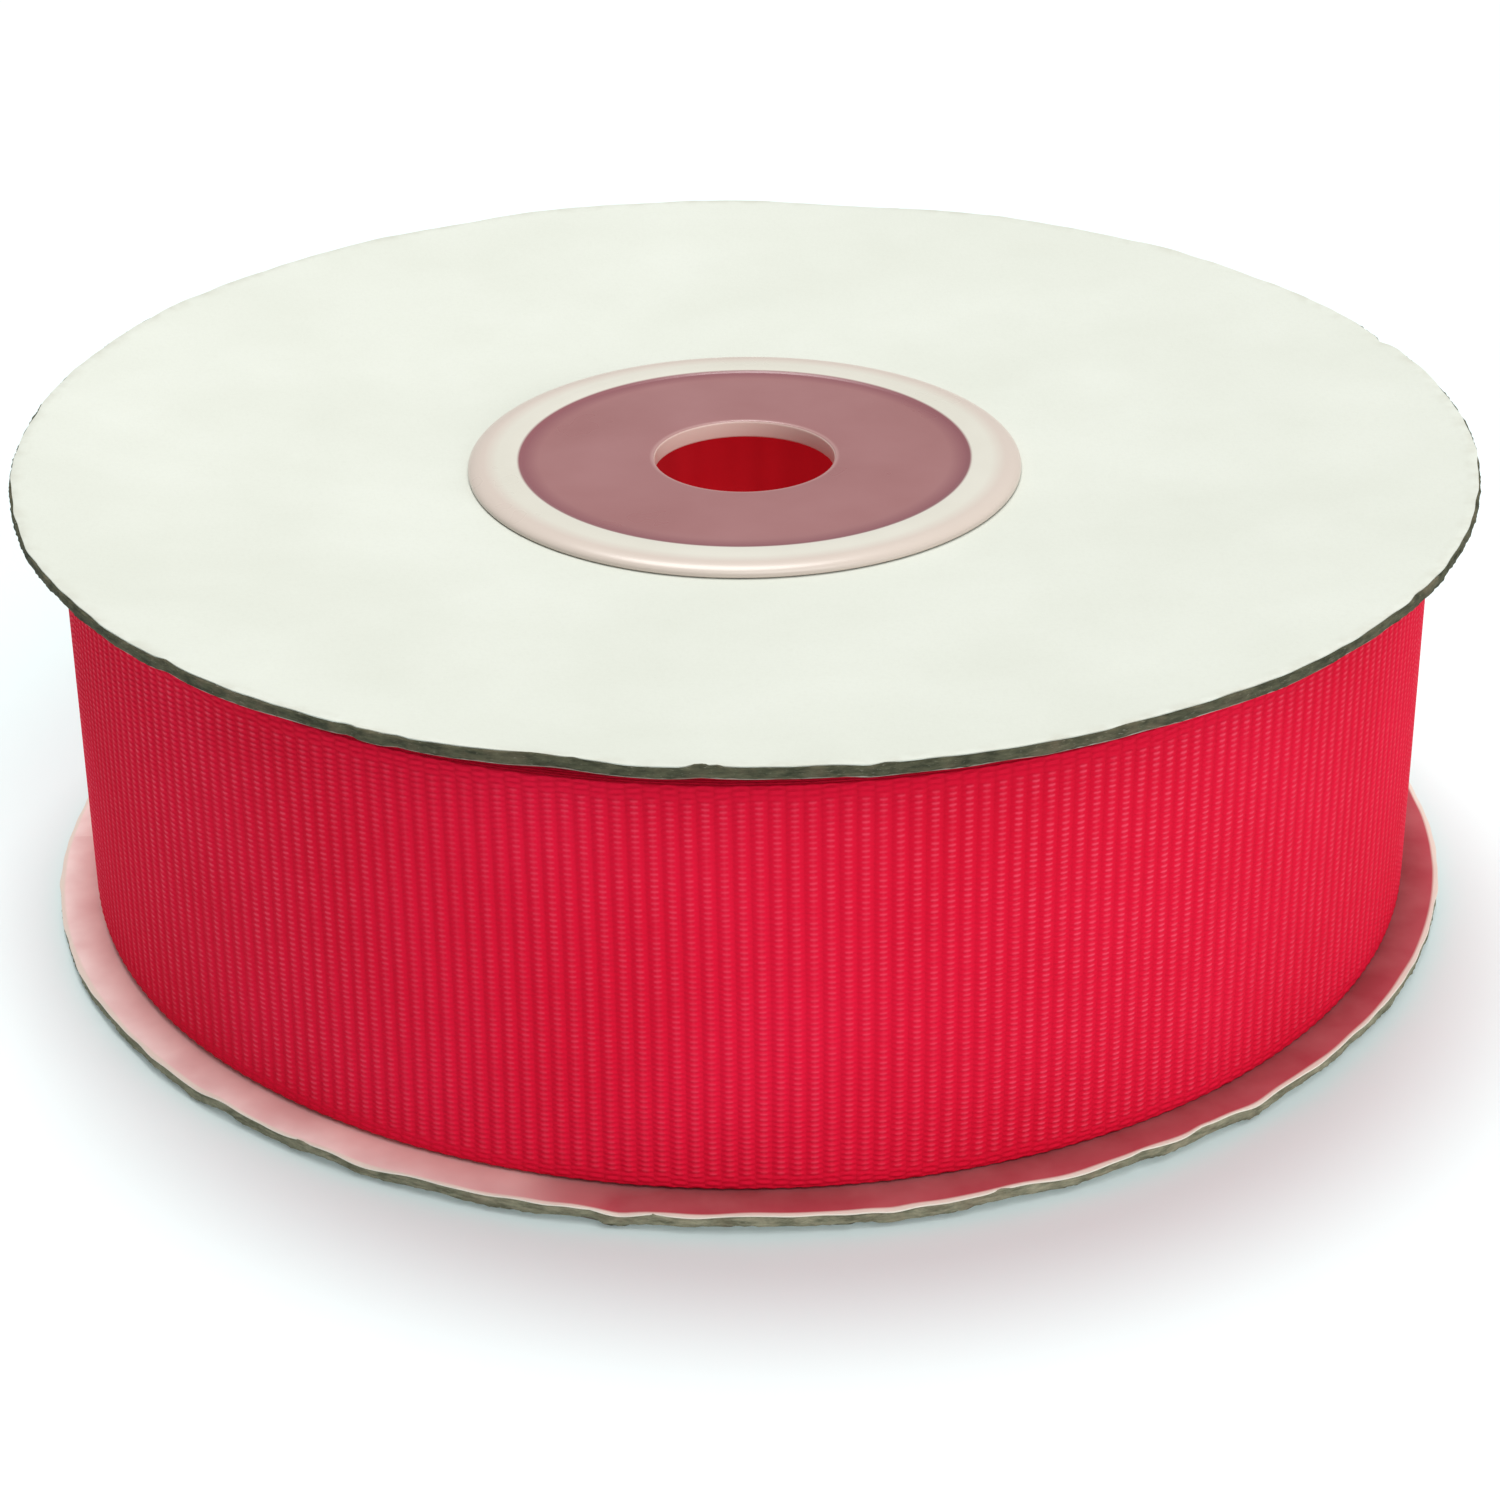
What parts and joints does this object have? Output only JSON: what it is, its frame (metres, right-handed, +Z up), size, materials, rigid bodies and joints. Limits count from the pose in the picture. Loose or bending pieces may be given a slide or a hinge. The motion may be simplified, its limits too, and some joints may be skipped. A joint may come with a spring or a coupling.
{
  "type": "ribbon spool",
  "caption": "Flat spool with two round card flanges on a translucent plastic hub, wound full with woven grosgrain ribbon.",
  "frame": {"origin": "centre of the face of the lower hub lip that the spool stands on", "axes": "+Z up along the spindle hole; X and Y lie across the flanges, and the ribbon's tail is on the +Y side"},
  "size_m": [0.093, 0.093, 0.0302],
  "materials": {
    "hub_plastic": "satin",
    "ribbon_weave": "satin",
    "tape_film": "gloss",
    "grey_board": "matte",
    "liner_paper": "matte"
  },
  "bodies": {
    "spool_core": {"lower_hub_half": "hub_plastic", "upper_hub_half": "hub_plastic", "ribbon": "ribbon_weave", "start_tape": "tape_film"},
    "lower_flange": {"lower_flange_board": "grey_board", "lower_flange_outer_liner": "liner_paper", "lower_flange_inner_liner": "liner_paper"},
    "upper_flange": {"upper_flange_board": "grey_board", "upper_flange_outer_liner": "liner_paper", "upper_flange_inner_liner": "liner_paper"},
    "tail": {"ribbon_tail": "ribbon_weave", "tail_tape": "tape_film"}
  },
  "joints": [
    {"name": "lower_flange_turn", "type": "hinge", "parent": "spool_core", "child": "lower_flange", "pos_m": [0, 0, 0], "axis": [0, 0, 1], "continuous": true},
    {"name": "upper_flange_turn", "type": "hinge", "parent": "spool_core", "child": "upper_flange", "pos_m": [0, 0, 0], "axis": [0, 0, 1], "continuous": true},
    {"name": "tail_peel", "type": "hinge", "parent": "spool_core", "child": "tail", "pos_m": [0.02184, 0.03782, 0.0143], "axis": [0, 0, -1], "range_deg": [0, 90]}
  ]
}
